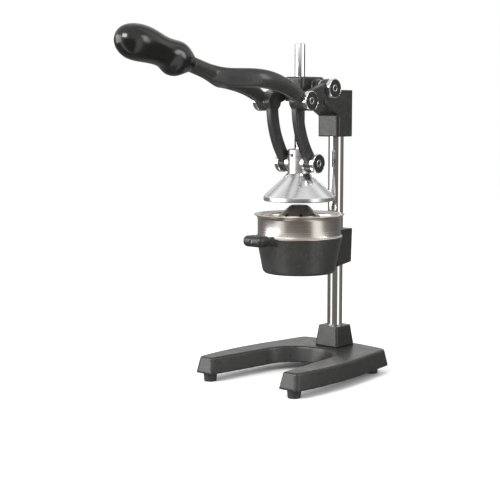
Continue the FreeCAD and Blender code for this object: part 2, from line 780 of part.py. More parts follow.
def make_lever():
    body = new_body("lever_arms")
    arch = sketch(body, "YZ_Plane", "lever_arch")
    outline(arch, [
        ("arch_front_y", "arch_front_under", "arch_under_radius", -1),
        ("arch_rear_y", "arch_rear_under"),
        ("arch_rear_y", "arch_rear_top", "arch_top_radius", 1),
        ("arch_front_y", "arch_front_top"),
    ])
    pad(body, arch, "2 * arm_outer_x", both=True)
    above = "arch_front_top + 2 * arm_outer_x"
    depth = "4 * arm_outer_x"
    gap = sketch(body, "XY_Plane", "lever_fork_gap", above)
    outline(gap, [
        ("arm_inner_x", "crotch_centre_y"),
        ("arm_inner_x", "fixed_pivot_y"),
        ("-arm_inner_x", "fixed_pivot_y"),
        ("-arm_inner_x", "crotch_centre_y", "arm_inner_x", 1),
        ("0", "crotch_centre_y - arm_inner_x", "arm_inner_x", 1),
    ])
    pocket(body, gap, depth)
    waist = "(bar_radius - shoulder_inset)"
    flare = "(arm_outer_x - %s)" % waist
    run = "(shoulder_rear_y - arch_front_y)"
    shoulder_radius = "((%s ^ 2 + %s ^ 2) / (2 * %s))" % (flare, run, flare)
    for name, side in SIDES.items():
        shoulder = sketch(body, "XY_Plane", "lever_shoulder_" + name, above)
        flip = "" if side > 0 else "-"
        outline(shoulder, [
            (flip + waist, "arch_front_y"),
            (flip + "(2 * arm_outer_x)", "arch_front_y"),
            (flip + "(2 * arm_outer_x)", "shoulder_rear_y"),
            (flip + "arm_outer_x", "shoulder_rear_y", shoulder_radius, -side),
        ])
        pocket(body, shoulder, depth)
    rear = number("arch_rear_y") - 1
    across = number("arm_outer_x - arm_inner_x")

    def is_long_edge(edge):
        return edge.BoundBox.YLength > across + 0.1 and edge.BoundBox.YMin < rear

    round_edges(body, body.Tip, is_long_edge, "arm_edge_round")
    lean_y = "sin(crank_droop * 1 deg)"
    lean_z = "cos(crank_droop * 1 deg)"

    def beside(along, up, half, side):
        return ("%s - (%d) * %s * %s" % (along, side, half, lean_y),
                "%s + (%d) * %s * %s" % (up, side, half, lean_z))

    pad_arms(body, "lever_front_boss", lambda item: circle(item, CRANK_Y, CRANK_Z, "arm_boss_radius"))
    pad_arms(body, "lever_plate", lambda item: outline(item, [
        beside(CRANK_Y, CRANK_Z, "arm_plate_half_front", -1),
        beside("fixed_pivot_y", "fixed_pivot_height", "arm_plate_half_rear", -1),
        beside("fixed_pivot_y", "fixed_pivot_height", "arm_plate_half_rear", 1),
        beside(CRANK_Y, CRANK_Z, "arm_plate_half_front", 1),
    ]))
    pad_arms(body, "lever_rear_boss", lambda item: circle(item, "fixed_pivot_y", "fixed_pivot_height",
                                                          "arm_boss_radius"))
    for name, across, up, radius in (
        ("lever_rear_bore", "fixed_pivot_y", "fixed_pivot_height", "pivot_shaft_radius"),
        ("lever_front_bore", CRANK_Y, CRANK_Z, "link_bolt_radius"),
    ):
        bore = sketch(body, "YZ_Plane", name)
        circle(bore, across, up, radius + " + running_fit")
        pocket(body, bore, "4 * arm_outer_x", both=True)

    def along_bar(name, radius, length, start_y, start_z, angle):
        item = doc.addObject("Part::Cylinder", name)
        item.Placement = Placement(Vector(), Rotation(Vector(1, 0, 0), 90 - number(angle)))
        item.setExpression("Placement.Rotation.Angle", bind("90 - " + angle))
        item.setExpression("Radius", bind(radius))
        item.setExpression("Height", bind(length))
        item.setExpression("Placement.Base.y", bind(start_y))
        item.setExpression("Placement.Base.z", bind(start_z))
        return item

    run_y = "cos(bar_angle * 1 deg)"
    rise = "sin(bar_angle * 1 deg)"
    bar = along_bar("lever_bar", "bar_radius", "bar_length",
                    "bar_end_y + bar_length * " + run_y,
                    "bar_end_height - bar_length * " + rise, "bar_angle")
    tang = along_bar("lever_tang", "tang_radius", "tang_length + 4",
                     "bar_end_y + 4 * cos(grip_angle * 1 deg)",
                     "bar_end_height - 4 * sin(grip_angle * 1 deg)", "grip_angle")
    return settle(combine("MultiFuse", "lever_fork", [body, bar, tang]))


def make_grip():
    rings = []
    for label, along, radius, offset in GRIP_SECTIONS:
        ring = doc.addObject("Part::Circle", "grip_ring_" + label)
        ring.setExpression("Radius", bind("grip_%s_radius" % label))
        ring.setExpression("Placement.Base.y", bind("grip_%s_offset" % label))
        ring.setExpression("Placement.Base.z", bind("grip_%s_along" % label))
        rings.append(ring)
    skin = doc.addObject("Part::Loft", "grip_skin")
    skin.Sections = rings
    skin.Solid = True
    hole = upright_rod("grip_hole", "tang_radius + running_fit", "-1", "tang_length + 1 + moving_gap")
    grip = combine("Cut", "lever_grip", [skin, hole])
    grip.Placement = Placement(Vector(), Rotation(Vector(1, 0, 0), 90 - number("grip_angle")))
    grip.setExpression("Placement.Rotation.Angle", bind("90 - grip_angle"))
    gap_y = "0.1 * cos(grip_angle * 1 deg)"
    grip.setExpression("Placement.Base.y", bind("press_axis_y + bar_end_y - " + gap_y))
    grip.setExpression("Placement.Base.z", bind("bar_end_height + 0.1 * sin(grip_angle * 1 deg)"))
    return grip


def make_link_bolts():
    pieces = []
    inlays = []
    washers = []
    for name, side in SIDES.items():
        head = make_pivot_head("link_bolt_head_" + name, "pivot_head_radius",
                               "pivot_head_thickness", "arm_outer_x", side, CRANK_Y, CRANK_Z)
        inner = "%d * (link_inner_x + link_thickness + moving_gap)" % side
        face = "%d * arm_inner_x" % side
        outer = "%d * arm_outer_x" % side
        start, end = (inner, outer) if side > 0 else (outer, inner)
        shank = rod_along_x("link_bolt_shank_" + name, "link_bolt_radius", start, end,
                            CRANK_Y, CRANK_Z)
        pieces.append(settle(combine("MultiFuse", "link_bolt_" + name, [head, shank])))
        start, end = (inner, face) if side > 0 else (face, inner)
        disc = rod_along_x("link_washer_disc_" + name, "pivot_washer_radius", start, end,
                           CRANK_Y, CRANK_Z)
        hole = rod_along_x("link_washer_hole_" + name, "link_bolt_radius + running_fit", start, end,
                           CRANK_Y, CRANK_Z)
        washers.append(combine("Cut", "link_washer_" + name, [disc, hole]))
        inlays.append(make_inlay("link_bolt_inlay_" + name, "pivot_head_thickness",
                                 "arm_outer_x", side, CRANK_Y, CRANK_Z))
    pieces.append(settle(combine("Compound", "link_bolt_inlays", inlays)))
    pieces.append(settle(combine("Compound", "link_washers", washers)))
    return pieces


# Press rod and the bell-shaped press cone on its lower end

def make_press_rod():
    body = new_body("press_rod")
    profile = sketch(body, "XZ_Plane", "press_rod_profile")
    outline(profile, [
        ("0", "rod_bottom"),
        ("rod_radius", "rod_bottom"),
        ("rod_radius", "rod_top - rod_chamfer"),
        ("rod_radius - rod_chamfer", "rod_top"),
        ("0", "rod_top"),
    ])
    turn(body, profile)
    return settle(body)


def make_press_cone():
    body = new_body("press_cone")
    profile = sketch(body, "XZ_Plane", "press_cone_profile")
    bore = "rod_radius + running_fit"
    floor = "rod_bottom - running_fit"
    outline(profile, [
        ("0", "bell_crown_height"),
        ("bell_crown_radius", "bell_crown_height"),
        ("cone_rim_radius - cone_wall - 1.5", "cone_rim_top - 2"),
        ("cone_rim_radius - cone_wall", "cone_rim_bottom"),
        ("cone_rim_radius", "cone_rim_bottom"),
        ("cone_rim_radius", "cone_rim_top"),
        ("cone_neck_radius", "cone_neck_height"),
        ("hub_radius", "cone_neck_height + 1.5"),
        ("hub_radius", "hub_top - hub_edge_round"),
        ("hub_radius - hub_edge_round", "hub_top"),
        (bore, "hub_top"),
        (bore, floor),
        ("0", floor),
    ])
    turn(body, profile)
    bosses = sketch(body, "YZ_Plane", "hub_bosses")
    circle(bosses, "0", CROSS_Z, "hub_boss_radius")
    pad(body, bosses, "2 * hub_boss_x", both=True)
    rod_again = sketch(body, "XY_Plane", "hub_bore", "hub_top")
    circle(rod_again, "0", "0", bore)
    pocket(body, rod_again, "hub_top - rod_bottom + running_fit")
    cross = sketch(body, "YZ_Plane", "cross_bores")
    circle(cross, "0", CROSS_Z, "cross_bolt_radius + running_fit")
    pocket(body, cross, "2 * hub_boss_x + 2", both=True)
    screw = sketch(body, "XZ_Plane", "hub_screw_hole", "hub_radius")
    circle(screw, "0", "hub_screw_height", "set_screw_radius + running_fit")
    pocket(body, screw, "hub_radius")
    return settle(body)


def make_cone_screw():
    tip = "-(rod_radius + running_fit)"
    screw = make_set_screw("cone_set_screw", tip, "hub_screw_height", "-1")
    return settle(screw)


def make_cross_bolts():
    pieces = []
    inlays = []
    start = "link_inner_x + link_thickness + moving_gap"
    for name, side in SIDES.items():
        head = make_pivot_head("cross_bolt_head_" + name, "cross_bolt_head_radius",
                               "cross_bolt_head_thickness", start, side, "0", CROSS_Z)
        inner = "%d * cross_bolt_root_x" % side
        outer = "%d * (%s)" % (side, start)
        near, far = (inner, outer) if side > 0 else (outer, inner)
        shank = rod_along_x("cross_bolt_shank_" + name, "cross_bolt_radius", near, far, "0", CROSS_Z)
        pieces.append(settle(combine("MultiFuse", "cross_bolt_" + name, [head, shank])))
        inlays.append(make_inlay("cross_bolt_inlay_" + name, "cross_bolt_head_thickness",
                                 start, side, "0", CROSS_Z))
    pieces.append(settle(combine("Compound", "cross_bolt_inlays", inlays)))
    return pieces


# Curved links between the crank and the press cone's hub

LINK_RADIUS = "((link_length ^ 2 / 4 + link_bow ^ 2) / (2 * link_bow))"
LINK_CENTRE = "(" + LINK_RADIUS + " - link_bow)"


def make_link(name, side):
    # Drawn with the lower eye at the origin and the upper eye straight above it.
    body = new_body("link_" + name)
    inner = "link_inner_x" if side > 0 else "-(link_inner_x + link_thickness)"
    band = sketch(body, "YZ_Plane", "link_band_" + name, inner)
    outer_share = "(1 + link_width / 2 / %s)" % LINK_RADIUS
    inner_share = "(1 - link_width / 2 / %s)" % LINK_RADIUS

    def at(share, end):
        return (LINK_CENTRE + " * (1 - %s)" % share,
                "link_length / 2 * (1 + (%d) * %s)" % (end, share))

    outline(band, [
        at(outer_share, -1),
        at(inner_share, -1) + (LINK_RADIUS + " - link_width / 2", -1),
        at(inner_share, 1),
        at(outer_share, 1) + (LINK_RADIUS + " + link_width / 2", 1),
    ])
    strap = pad(body, band, "link_thickness")
    long_edge = 0.7 * number("link_length")
    round_edges(body, strap, lambda edge: edge.Length > long_edge, "link_edge_round")
    for end, height, radius in (
        ("lower", "0", "link_bottom_boss_radius"),
        ("upper", "link_length", "link_top_boss_radius"),
    ):
        eye = sketch(body, "YZ_Plane", "link_%s_eye_%s" % (end, name), inner)
        circle(eye, "0", height, radius)
        pad(body, eye, "link_thickness")
    for end, height, radius in (
        ("lower", "0", "cross_bolt_radius"),
        ("upper", "link_length", "link_bolt_radius"),
    ):
        bore = sketch(body, "YZ_Plane", "link_%s_bore_%s" % (end, name), inner)
        circle(bore, "0", height, radius + " + running_fit")
        pocket(body, bore, "link_thickness", back=True)
    return lean_with_links(body)


def lean_with_links(item):
    item.Placement = Placement(Vector(), Rotation(Vector(1, 0, 0), number(LINK_LEAN)))
    item.setExpression("Placement.Rotation.Angle", bind(LINK_LEAN))
    item.setExpression("Placement.Base.y", bind("press_axis_y"))
    item.setExpression("Placement.Base.z", bind(CROSS_Z))
    return item


def make_link_pins():
    # The pin in each upper eye, with its flat head on the inner face.
    pins = []
    for name, side in SIDES.items():
        inner = "%d * (link_inner_x - link_nut_thickness)" % side
        face = "%d * link_inner_x" % side
        outer = "%d * (link_inner_x + link_thickness)" % side
        head_ends = (inner, face) if side > 0 else (face, inner)
        pin_ends = (face, outer) if side > 0 else (outer, face)
        head = rod_along_x("link_pin_head_" + name, "link_nut_radius", *head_ends, "0", "link_length")
        body = rod_along_x("link_pin_body_" + name, "link_bolt_radius", *pin_ends, "0", "link_length")
        pins.append(combine("MultiFuse", "link_pin_" + name, [head, body]))
    return lean_with_links(combine("Compound", "link_pins", pins))


# Collar clamped on the column, with an upright T slot that the cup hooks into

SLOT_FLOOR = "(collar_top - slot_height)"


def make_collar():
    body = new_body("cup_collar")
    side_view = sketch(body, "YZ_Plane", "collar_side")
    outline(side_view, [
        ("collar_front_y", "collar_bottom - 2"),
        ("collar_rear_y - 2", "collar_bottom + 3"),
        ("collar_rear_y", "collar_top"),
        ("collar_front_y", "collar_top"),
    ])
    block = pad(body, side_view, "2 * collar_half_width", both=True)
    rear = number("collar_rear_y") - 5

    def is_rear_upright(edge):
        return edge.BoundBox.ZLength > 20 and edge.BoundBox.YMin > rear

    round_edges(body, block, is_rear_upright, "bracket_corner_round")
    bore = sketch(body, "XY_Plane", "collar_bore", "collar_top")
    circle(bore, "0", "column_y", "column_radius + running_fit")
    pocket(body, bore, "collar_top - collar_bottom + 5")
    slot = sketch(body, "XY_Plane", "collar_slot", "collar_top")
    t_outline(slot, "0")
    pocket(body, slot, "slot_height")
    screw = sketch(body, "XZ_Plane", "collar_screw_hole", "-collar_rear_y")
    circle(screw, "0", "(collar_top + collar_bottom) / 2", "set_screw_radius + running_fit")
    pocket(body, screw, "collar_rear_y - column_y", back=True)
    return settle(body)


def t_outline(item, gap):
    # The T of the slot, or of the tongue that is smaller by gap all round.
    neck = "(slot_neck_half - %s)" % gap
    head = "(slot_head_half - %s)" % gap
    front = "(collar_front_y - 4)" if gap != "0" else "collar_front_y"
    step = "(collar_front_y + slot_neck_depth + %s)" % gap
    rear = "(collar_front_y + slot_neck_depth + slot_head_depth - %s)" % gap
    outline(item, [
        ("-" + neck, front),
        (neck, front),
        (neck, step),
        (head, step),
        (head, rear),
        ("-" + head, rear),
        ("-" + head, step),
        ("-" + neck, step),
    ])


def make_collar_screw():
    tip = "column_y + column_radius + running_fit"
    screw = make_set_screw("collar_set_screw", tip, "(collar_top + collar_bottom) / 2", "1")
    return settle(screw)


# Juice cup: a tapered pot with a funnel floor, a tongue at the back and a lug for its handle

def make_cup():
    body = new_body("juice_cup")
    lug = sketch(body, "YZ_Plane", "cup_lug")
    lug_end = "handle_end_y + handle_depth"
    lug_step = "(cup_top - moving_gap)"
    outline(lug, [
        ("-(strainer_foot_radius + moving_gap)", lug_step),
        ("-(strainer_foot_radius + moving_gap + cup_lug_slope)", lug_step + " + cup_lug_rise"),
        (lug_end, lug_step + " + cup_lug_rise"),
        (lug_end, "cup_lug_bottom + cup_lug_rise"),
        ("-(cup_bottom_radius - cup_wall)", "cup_lug_bottom"),
        ("-(cup_bottom_radius - cup_wall)", lug_step),
    ])
    pad(body, lug, "2 * cup_lug_half_width", both=True)
    tongue = sketch(body, "XY_Plane", "cup_tongue", "cup_top")
    t_outline(tongue, "moving_gap")
    pad(body, tongue, "cup_top - %s - moving_gap" % SLOT_FLOOR, back=True)
    outside = sketch(body, "XZ_Plane", "cup_outside")
    floor = "(cup_foot + cup_wall)"
    outline(outside, [
        ("0", "cup_foot"),
        ("cup_foot_radius", "cup_foot"),
        ("cup_bottom_radius", "cup_side_bottom"),
        ("cup_top_radius", "cup_top"),
        ("0", "cup_top"),
    ])
    turn(body, outside)
    inside = sketch(body, "XZ_Plane", "cup_inside")
    outline(inside, [
        ("0", "cup_foot - 1"),
        ("cup_outlet_radius", "cup_foot - 1"),
        ("cup_outlet_radius", floor),
        ("cup_bottom_radius - cup_wall", floor + " + cup_floor_rise"),
        ("cup_top_radius - cup_wall", "cup_top + 1"),
        ("0", "cup_top + 1"),
    ])
    turn(body, inside, "Groove")
    hole = sketch(body, "XZ_Plane", "cup_screw_hole", "-(handle_end_y + handle_depth)")
    circle(hole, "0", "handle_centre_height", "handle_screw_radius + running_fit")
    pocket(body, hole, "12")
    return settle(body)


def make_cup_handle():
    body = new_body("cup_handle")
    top = sketch(body, "XY_Plane", "cup_handle_outline", "handle_centre_height")
    box_outline(top, "-handle_width / 2", "handle_width / 2",
                "handle_end_y", "handle_end_y + handle_depth")
    block = pad(body, top, "handle_height", both=True)
    rear = number("handle_end_y + handle_depth")
    round_edges(body, block, lambda edge: edge.BoundBox.YMax < rear - 0.01 or is_upright(edge),
                "handle_round")
    hole = sketch(body, "XZ_Plane", "cup_handle_hole", "-handle_end_y")
    circle(hole, "0", "handle_centre_height", "handle_screw_radius + running_fit")
    pocket(body, hole, "handle_depth", back=False)
    return settle(body)


def make_cup_handle_screw():
    start = "handle_end_y + 1.5"
    end = "handle_end_y + handle_depth + 11"
    screw = rod_along_y("cup_handle_screw", "handle_screw_radius", start, end,
                        "handle_centre_height")
    screw.Label = "cup_handle_screw"
    screw.setExpression("Placement.Base.y", bind("press_axis_y + " + start))
    return screw


# Strainer: a spun bowl with a rolled lip, a foot and a perforated floor, and the reamer

STRAINER_FOOT = "cup_top"


def make_strainer():
    body = new_body("strainer_bowl")
    profile = sketch(body, "XZ_Plane", "strainer_profile")
    inner = "(strainer_radius - strainer_wall)"
    spigot = "(cup_top_radius - cup_wall - strainer_spigot_gap)"
    lip = "(strainer_rim_height - strainer_rim_drop)"
    top_edge = "(strainer_floor_top + strainer_wall)"
    outline(profile, [
        ("reamer_bottom_radius - 4", "strainer_floor_top"),
        (inner, "strainer_floor_edge"),
        (inner, STRAINER_FOOT + " + strainer_foot_height"),
        (spigot + " - strainer_wall", STRAINER_FOOT + " + strainer_foot_height"),
        (spigot + " - strainer_wall", STRAINER_FOOT + " - strainer_spigot_depth"),
        (spigot, STRAINER_FOOT + " - strainer_spigot_depth"),
        (spigot, STRAINER_FOOT),
        ("strainer_foot_radius", STRAINER_FOOT),
        ("strainer_foot_radius", STRAINER_FOOT + " + strainer_foot_height"),
        ("strainer_radius", STRAINER_FOOT + " + strainer_foot_height + 1.5"),
        ("strainer_radius", lip),
        ("strainer_rim_radius", "strainer_rim_height - 1"),
        ("strainer_rim_radius - 0.3", "strainer_rim_height"),
        ("strainer_rim_radius - 1.6", "strainer_rim_height"),
        (inner, lip + " + 0.8"),
        (inner, "strainer_floor_edge + strainer_wall"),
        ("reamer_bottom_radius - 4", top_edge),
    ])
    turn(body, profile)
    for ring, count in (("inner", 12), ("outer", 16)):
        hole = sketch(body, "XY_Plane", "strainer_hole_" + ring, "strainer_floor_top + 4")
        circle(hole, "strainer_%s_ring" % ring, "0", "strainer_hole_radius")
        cut = pocket(body, hole, "strainer_floor_top - strainer_floor_edge + 6")
        pattern = body.newObject("PartDesign::PolarPattern", "strainer_holes_" + ring)
        pattern.Originals = [cut]
        pattern.Axis = (hole, ["N_Axis"])
        pattern.Angle = 360
        pattern.Occurrences = count
        body.Tip = pattern
        doc.recompute()
    return settle(body)


def make_reamer():
    body = new_body("reamer_cone")
    profile = sketch(body, "XZ_Plane", "reamer_profile")
    rings = 5
    base = "(strainer_floor_top + strainer_wall + running_fit)"
    points = [("0", "reamer_top - reamer_wall - 1"), ("reamer_top_radius - 5", "reamer_top - reamer_wall - 1"),
              ("reamer_bottom_radius - reamer_wall - 2", base)]
    points.append(("reamer_bottom_radius", base))
    points.append(("reamer_skirt_radius", "reamer_skirt_top"))
    for index in range(1, rings):
        share = index / rings
        height = "reamer_skirt_top + (reamer_top - 2 - reamer_skirt_top) * %.2f" % share
        radius = "reamer_skirt_radius + (reamer_top_radius - reamer_skirt_radius) * %.2f" % share
        points.append((radius, height))
        points.append((radius + " - reamer_ring_step", height + " + 0.6"))
    points.append(("reamer_top_radius", "reamer_top - 2"))
    points.append(("reamer_top_radius - 3", "reamer_top"))
    points.append(("0", "reamer_top"))
    outline(profile, points)
    turn(body, profile)
    hole = sketch(body, "YZ_Plane", "reamer_hole")
    circle(hole, "0", "reamer_hole_height", "reamer_hole_radius")
    cut = pocket(body, hole, "2 * reamer_bottom_radius + 2", both=True)
    pattern = body.newObject("PartDesign::PolarPattern", "reamer_holes")
    pattern.Originals = [cut]
    pattern.Axis = (profile, ["V_Axis"])
    pattern.Angle = 135
    pattern.Occurrences = 4
    body.Tip = pattern
    doc.recompute()
    return settle(body)


# The whole press

def make_press():
    pieces = [make_foot(name, across, along) for name, (across, along) in FEET.items()]
    pieces += [make_foot_screws(), make_base(), make_socket(), make_column()]
    pieces += [make_column_washer(), make_column_bolt()]
    pieces += [make_bracket(), make_bracket_screws()]
    pieces += make_fixed_pivot()
    pieces += [make_lever(), make_grip()]
    pieces += make_link_bolts()
    pieces += [make_press_rod(), make_press_cone(), make_cone_screw()]
    pieces += make_cross_bolts()
    pieces += [make_link(name, side) for name, side in SIDES.items()]
    pieces += [make_link_pins(), make_collar(), make_collar_screw()]
    pieces += [make_cup(), make_cup_handle(), make_cup_handle_screw()]
    pieces += [make_strainer(), make_reamer()]
    return pieces


def check(pieces):
    doc.recompute()
    for item in doc.Objects:
        if "Invalid" in item.State or "Error" in item.State:
            raise RuntimeError("failed feature: %s %s" % (item.Name, item.State))
    for item in pieces:
        if item.Shape.isNull() or not item.Shape.isValid():
            raise RuntimeError("bad shape: " + item.Name)


def write(pieces):
    os.makedirs("parts", exist_ok=True)
    for item in pieces:
        item.Shape.exportStep("parts/%s.step" % item.Name)


press = make_press()
check(press)
write(press)
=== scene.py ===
import json
import math
import bpy
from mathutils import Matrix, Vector


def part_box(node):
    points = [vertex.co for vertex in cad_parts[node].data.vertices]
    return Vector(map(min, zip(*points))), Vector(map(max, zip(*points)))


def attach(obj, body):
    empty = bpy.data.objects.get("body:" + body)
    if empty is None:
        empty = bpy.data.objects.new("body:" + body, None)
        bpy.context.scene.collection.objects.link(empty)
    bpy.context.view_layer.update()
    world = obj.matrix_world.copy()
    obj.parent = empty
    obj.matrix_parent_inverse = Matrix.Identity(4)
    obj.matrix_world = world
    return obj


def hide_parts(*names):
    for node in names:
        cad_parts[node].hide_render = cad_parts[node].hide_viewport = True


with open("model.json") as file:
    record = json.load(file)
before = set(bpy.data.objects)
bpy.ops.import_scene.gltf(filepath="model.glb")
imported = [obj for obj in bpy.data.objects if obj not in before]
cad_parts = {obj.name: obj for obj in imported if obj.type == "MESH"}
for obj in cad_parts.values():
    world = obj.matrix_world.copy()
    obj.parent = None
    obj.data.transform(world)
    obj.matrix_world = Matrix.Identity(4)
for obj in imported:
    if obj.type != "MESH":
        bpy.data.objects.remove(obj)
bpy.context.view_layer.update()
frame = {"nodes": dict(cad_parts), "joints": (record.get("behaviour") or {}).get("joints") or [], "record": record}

MM = 0.001
CLEARANCE = 0.05

# Places read from the frame, in metres
ROD_LOW, ROD_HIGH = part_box("press_rod")
AXIS_Y = (ROD_LOW.y + ROD_HIGH.y) / 2
COLUMN_LOW, COLUMN_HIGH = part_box("column")
COLUMN_Y = (COLUMN_LOW.y + COLUMN_HIGH.y) / 2
JOINTS = {joint["name"]: joint for joint in frame["joints"]}
NODE_SLOT = {part["node"]: part["material_slot"] for part in frame["record"]["subparts"]}
BODY_OF = {node: body for body, nodes in frame["record"]["behaviour"]["bodies"].items() for node in nodes}


# Camera at the photograph's viewing angle

CAMERA_PLACE = (1070.7, -1291.4, 371.96)
CAMERA_TURN = 41.98
CAMERA_TILT = 6.58
CAMERA_LENS = 87.83
CAMERA_SIDE = math.atan2(CAMERA_PLACE[1], CAMERA_PLACE[0])


def make_camera():
    data = bpy.data.cameras.new("camera")
    data.lens = CAMERA_LENS
    data.sensor_width = 36.0
    data.clip_end = 20.0
    camera = bpy.data.objects.new("camera", data)
    bpy.context.scene.collection.objects.link(camera)
    x, y, z = CAMERA_PLACE
    camera.location = (x * MM, y * MM + AXIS_Y, z * MM)
    camera.rotation_euler = (math.radians(90 - CAMERA_TILT), 0, math.radians(CAMERA_TURN))
    bpy.context.scene.camera = camera


# Materials

def start_material(name, color, metallic, roughness):
    material = bpy.data.materials.new(name)
    material.use_nodes = True
    shader = material.node_tree.nodes["Principled BSDF"]
    shader.inputs["Base Color"].default_value = (*color, 1)
    shader.inputs["Metallic"].default_value = metallic
    shader.inputs["Roughness"].default_value = roughness
    return material, material.node_tree, shader


def object_coordinates(tree, stretch=(1, 1, 1)):
    place = tree.nodes.new("ShaderNodeTexCoord")
    mapping = tree.nodes.new("ShaderNodeMapping")
    mapping.inputs["Scale"].default_value = stretch
    tree.links.new(place.outputs["Object"], mapping.inputs["Vector"])
    return mapping.outputs["Vector"]


def noise(tree, coordinates, scale, detail=2.0, roughness=0.5):
    node = tree.nodes.new("ShaderNodeTexNoise")
    node.inputs["Scale"].default_value = scale
    node.inputs["Detail"].default_value = detail
    node.inputs["Roughness"].default_value = roughness
    tree.links.new(coordinates, node.inputs["Vector"])
    return node.outputs["Fac"]


def between(tree, share, low, high, start=0.3, end=0.7):
    node = tree.nodes.new("ShaderNodeMapRange")
    node.inputs["From Min"].default_value = start
    node.inputs["From Max"].default_value = end
    node.inputs["To Min"].default_value = low
    node.inputs["To Max"].default_value = high
    tree.links.new(share, node.inputs["Value"])
    return node.outputs["Result"]


def two_colors(tree, share, first, second, start=0.3, end=0.7):
    ramp = tree.nodes.new("ShaderNodeValToRGB")
    ramp.color_ramp.elements[0].position = start
    ramp.color_ramp.elements[0].color = (*first, 1)
    ramp.color_ramp.elements[1].position = end
    ramp.color_ramp.elements[1].color = (*second, 1)
    tree.links.new(share, ramp.inputs["Fac"])
    return ramp.outputs["Color"]


def bump(tree, shader, height, strength, distance):
    node = tree.nodes.new("ShaderNodeBump")
    node.inputs["Strength"].default_value = strength
    node.inputs["Distance"].default_value = distance
    tree.links.new(height, node.inputs["Height"])
    tree.links.new(node.outputs["Normal"], shader.inputs["Normal"])


def hammered_coat(name, dark, flake, gloss, grain_size):
    # Fine hammertone powder coat on cast metal, with bright metallic flakes.
    material, tree, shader = start_material(name, dark, 0.35, gloss)
    coordinates = object_coordinates(tree)
    grain = noise(tree, coordinates, grain_size, 2.0, 0.6)
    cloud = noise(tree, coordinates, 55, 2.0, 0.5)
    flakes = noise(tree, coordinates, 2100, 1.0)
    tree.links.new(two_colors(tree, flakes, dark, flake, 0.56, 0.72), shader.inputs["Base Color"])
    tree.links.new(between(tree, cloud, gloss - 0.05, gloss + 0.05), shader.inputs["Roughness"])
    bump(tree, shader, grain, 0.3, 0.00011)
    return material


def charcoal_coat():
    return hammered_coat("charcoal_coat", (0.019, 0.019, 0.0175), (0.12, 0.12, 0.112), 0.32, 950)


def cup_coat():
    return hammered_coat("cup_coat", (0.018, 0.018, 0.0165), (0.17, 0.17, 0.155), 0.36, 760)


def polished_steel():
    material, tree, shader = start_material("polished_steel", (0.80, 0.785, 0.77), 1.0, 0.08)
    draw_lines = noise(tree, object_coordinates(tree, (1, 1, 0.02)), 1400, 2.0)
    tree.links.new(between(tree, draw_lines, 0.05, 0.12), shader.inputs["Roughness"])
    bump(tree, shader, draw_lines, 0.04, 0.00002)
    return material


def chrome():
    material, tree, shader = start_material("chrome_plate", (0.84, 0.84, 0.85), 1.0, 0.06)
    haze = noise(tree, object_coordinates(tree), 240, 2.0)
    tree.links.new(between(tree, haze, 0.05, 0.12), shader.inputs["Roughness"])
    return material


def black_inlay():
    material, tree, shader = start_material("black_inlay", (0.008, 0.008, 0.008), 0.0, 0.35)
    grain = noise(tree, object_coordinates(tree), 1800, 2.0)
    tree.links.new(between(tree, grain, 0.3, 0.45), shader.inputs["Roughness"])
    bump(tree, shader, grain, 0.15, 0.00004)
    return material


def turning_marks(tree, scale):
    # Fine rings round the upright axis of the press.
    place = tree.nodes.new("ShaderNodeTexCoord")
    centred = tree.nodes.new("ShaderNodeMapping")
    centred.inputs["Location"].default_value = (0, -AXIS_Y, 0)
    tree.links.new(place.outputs["Object"], centred.inputs["Vector"])
    parts = tree.nodes.new("ShaderNodeSeparateXYZ")
    tree.links.new(centred.outputs["Vector"], parts.inputs["Vector"])
    flat = tree.nodes.new("ShaderNodeCombineXYZ")
    tree.links.new(parts.outputs["X"], flat.inputs["X"])
    tree.links.new(parts.outputs["Y"], flat.inputs["Y"])
    reach = tree.nodes.new("ShaderNodeVectorMath")
    reach.operation = "LENGTH"
    tree.links.new(flat.outputs["Vector"], reach.inputs[0])
    line = tree.nodes.new("ShaderNodeCombineXYZ")
    tree.links.new(reach.outputs["Value"], line.inputs["X"])
    tree.links.new(parts.outputs["Z"], line.inputs["Y"])
    return noise(tree, line.outputs["Vector"], scale, 2.0)


def turned_metal(name, color, gloss, mark_size, depth):
    material, tree, shader = start_material(name, color, 1.0, gloss)
    marks = turning_marks(tree, mark_size)
    tree.links.new(between(tree, marks, gloss - 0.04, gloss + 0.06), shader.inputs["Roughness"])
    bump(tree, shader, marks, depth, 0.00003)
    return material


def bright_aluminium():
    return turned_metal("bright_aluminium", (0.80, 0.80, 0.805), 0.24, 1500, 0.12)


def brushed_steel():
    return turned_metal("brushed_steel", (0.62, 0.575, 0.54), 0.26, 1700, 0.08)


def reamer_steel():
    return turned_metal("reamer_steel", (0.36, 0.335, 0.31), 0.34, 1300, 0.12)


def fastener_steel():
    material, tree, shader = start_material("fastener_steel", (0.16, 0.16, 0.16), 1.0, 0.4)
    haze = noise(tree, object_coordinates(tree), 500, 2.0)
    tree.links.new(between(tree, haze, 0.32, 0.48), shader.inputs["Roughness"])
    return material


def black_rubber():
    material, tree, shader = start_material("black_rubber", (0.016, 0.016, 0.016), 0.0, 0.6)
    grain = noise(tree, object_coordinates(tree), 1200, 3.0)
    tree.links.new(between(tree, grain, 0.5, 0.7), shader.inputs["Roughness"])
    bump(tree, shader, grain, 0.25, 0.00008)
    return material


def gloss_black_plastic():
    material, tree, shader = start_material("gloss_black_plastic", (0.005, 0.005, 0.0045), 0.0, 0.22)
    ripple = noise(tree, object_coordinates(tree), 38, 1.0)
    tree.links.new(between(tree, ripple, 0.18, 0.26), shader.inputs["Roughness"])
    bump(tree, shader, ripple, 0.03, 0.0006)
    return material


def black_plastic():
    material, tree, shader = start_material("black_plastic", (0.012, 0.012, 0.011), 0.0, 0.36)
    grain = noise(tree, object_coordinates(tree), 1500, 2.0)
    tree.links.new(between(tree, grain, 0.3, 0.44), shader.inputs["Roughness"])
    bump(tree, shader, grain, 0.2, 0.00005)
    return material


